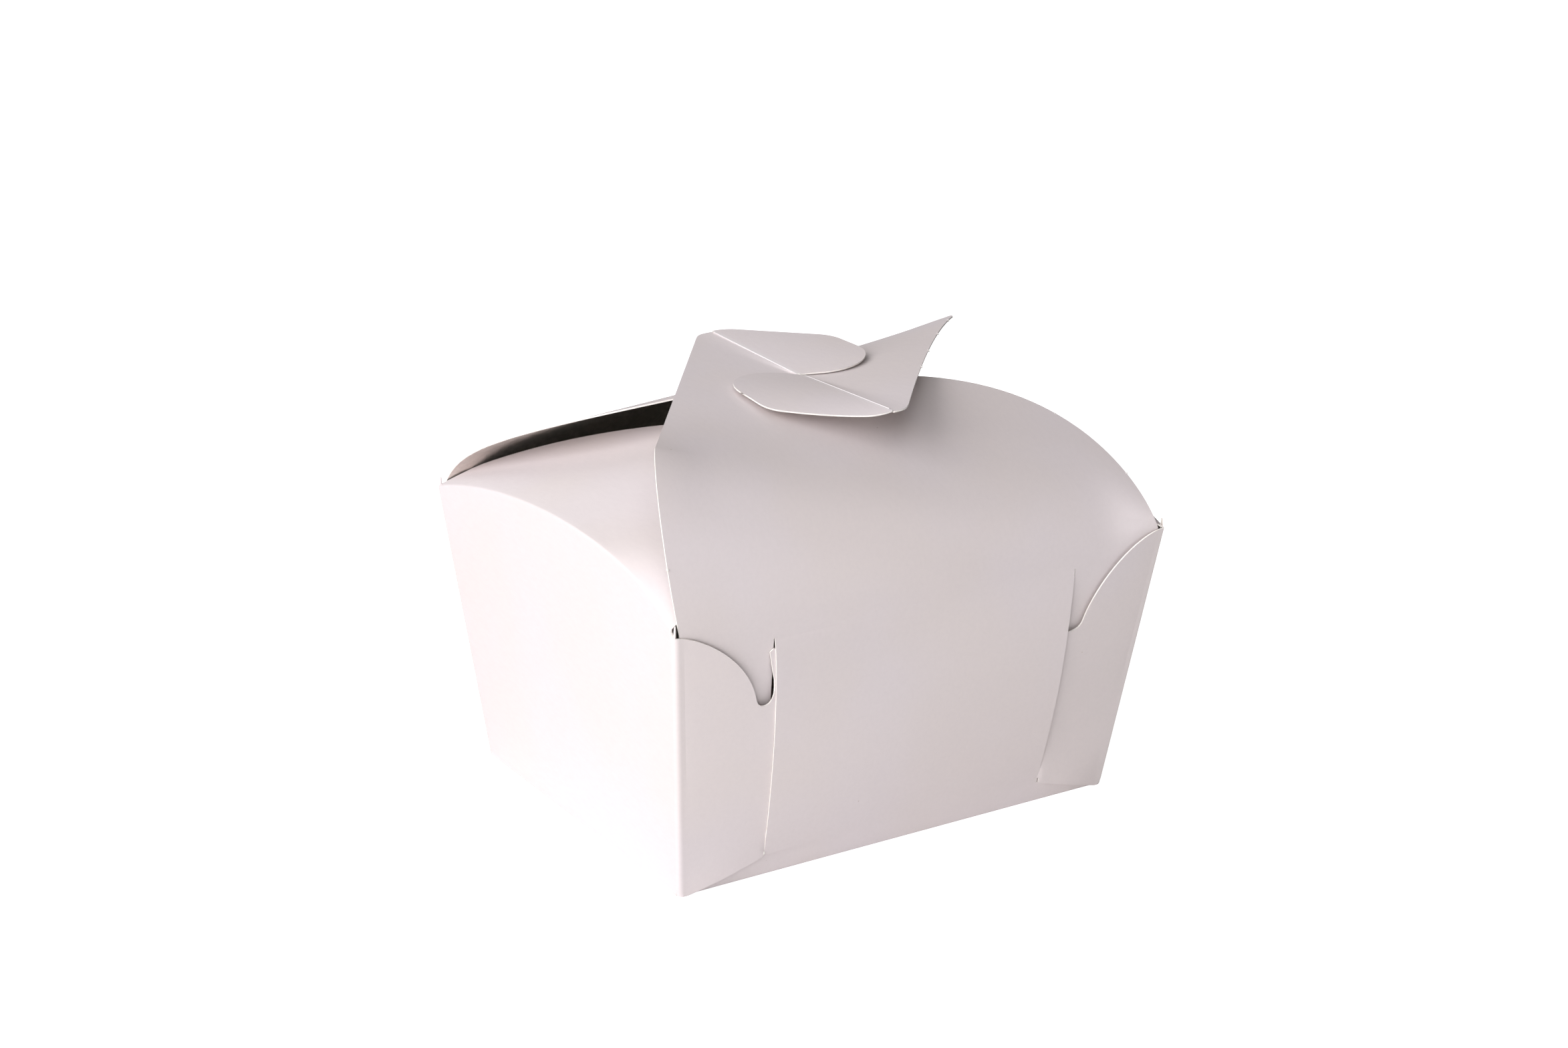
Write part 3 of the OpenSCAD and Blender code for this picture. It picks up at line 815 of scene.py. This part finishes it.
# small nicks where the sheet was held in its die, as shares of the way along each edge
nick = dict(long=0.75, wide=0.5, round=0.16, spike=(0.1, 0.34, 0.55, 0.71), wing=(0.3, 0.56), bend=(0.35,))


def nickPiece(name, shift, spike, turned):
    down = Vector((0, 0, -box["board"] / 2))
    spots = [slantEdge(shift, spike, t) for t in nick["spike"]] if spike else []
    spots += [wingEdge(shift, t) for t in nick["wing"]] + [bendEdge(spike, t) for t in nick["bend"]]
    bm = bmesh.new()
    for p in spots:
        made = bmesh.ops.create_cube(bm, size=1)["verts"]
        bmesh.ops.scale(bm, verts=made, vec=Vector((nick["wide"], nick["long"], nick["wide"])) * mm)
        bmesh.ops.translate(bm, verts=made, vec=(p + down) * mm)
    bmesh.ops.bevel(bm, geom=bm.edges[:], offset=nick["round"] * mm, offset_type="OFFSET", affect="EDGES",
                    segments=2, profile=0.5, material=-1)
    bm.normal_update()
    return place(bm, name, "carton", None, turned, (fibre,))


nickPiece("frontNicks", lid["closureX"], 0, False)
nickPiece("backNicks", -lid["closureX"], 1, True)
print("nicks made")

# stage, light and camera; lamps have a place in metres and a power in watts
studio = dict(floorSize=6, skyWhite=1.0, skyFill=0.03, lampSize=1.2, lampAim=(0, 0, 0.05),
              lamps=dict(key=((-1.31, 0, 0.97), 13.9), side=((-1.30, -0.75, 0.60), 12.2),
                         front=((-0.77, -1.34, 0.46), 5.1), high=((-0.51, -0.89, 1.28), 3.4),
                         top=((0, -0.14, 1.64), 2.6), back=((0, 1.31, 0.97), 6.7)))


def makeStage():
    bm = bmesh.new()
    bmesh.ops.create_grid(bm, x_segments=8, y_segments=8, size=studio["floorSize"] / 2)
    mesh = meshFrom(bm, "stageFloor")
    mesh.materials.append(stageFloor())
    floor = bpy.data.objects.new("stageFloor", mesh)
    bpy.context.scene.collection.objects.link(floor)
    world = bpy.data.worlds.new("studioSky")
    world.use_nodes = True
    bpy.context.scene.world = world
    nodes, links = world.node_tree.nodes, world.node_tree.links
    path = nodes.new("ShaderNodeLightPath")
    reach = nodes.new("ShaderNodeMapRange")
    reach.inputs[3].default_value, reach.inputs[4].default_value = studio["skyFill"], studio["skyWhite"]
    links.new(path.outputs["Is Camera Ray"], reach.inputs[0])
    links.new(reach.outputs[0], nodes["Background"].inputs["Strength"])
    nodes["Background"].inputs["Color"].default_value = (1, 1, 1, 1)


def makeLamp(name, spot, power):
    lamp = bpy.data.lights.new(name, "AREA")
    lamp.shape, lamp.size, lamp.energy = "DISK", studio["lampSize"], power
    made = bpy.data.objects.new(name, lamp)
    made.location = spot
    made.rotation_euler = (Vector(studio["lampAim"]) - Vector(spot)).to_track_quat("-Z", "Y").to_euler()
    bpy.context.scene.collection.objects.link(made)


# focus is in the photo's pixels, angles in degrees, the rest in millimetres
view = dict(focus=4885.6, photoWide=2346, sensor=36, azimuth=-32.507, rise=20.314, roll=0.665, across=-3.115,
            above=23.452, away=859.955, aim=45)


def makeCamera():
    a, e, r = (math.radians(view[k]) for k in ("azimuth", "rise", "roll"))
    back = Vector((math.sin(a) * math.cos(e), -math.cos(a) * math.cos(e), math.sin(e)))
    right = Vector((math.cos(a), math.sin(a), 0))
    above = back.cross(right)
    across, upward = math.cos(r) * right + math.sin(r) * above, -math.sin(r) * right + math.cos(r) * above
    spot = right * view["across"] + above * view["above"] + Vector((0, 0, view["aim"])) + back * view["away"]
    lens = bpy.data.cameras.new("photoCamera")
    lens.sensor_width, lens.sensor_fit = view["sensor"], "HORIZONTAL"
    lens.lens = view["focus"] / view["photoWide"] * view["sensor"]
    lens.clip_start, lens.clip_end = 0.01, 50
    camera = bpy.data.objects.new("photoCamera", lens)
    bpy.context.scene.collection.objects.link(camera)
    camera.matrix_world = Matrix.Translation(spot * mm) @ Matrix((across, upward, back)).transposed().to_4x4()
    bpy.context.scene.camera = camera


makeStage()
for name, (spot, power) in studio["lamps"].items():
    makeLamp(name + "Lamp", spot, power)
makeCamera()
bpy.context.scene.view_settings.view_transform = "Standard"
print("stage, light and camera made")
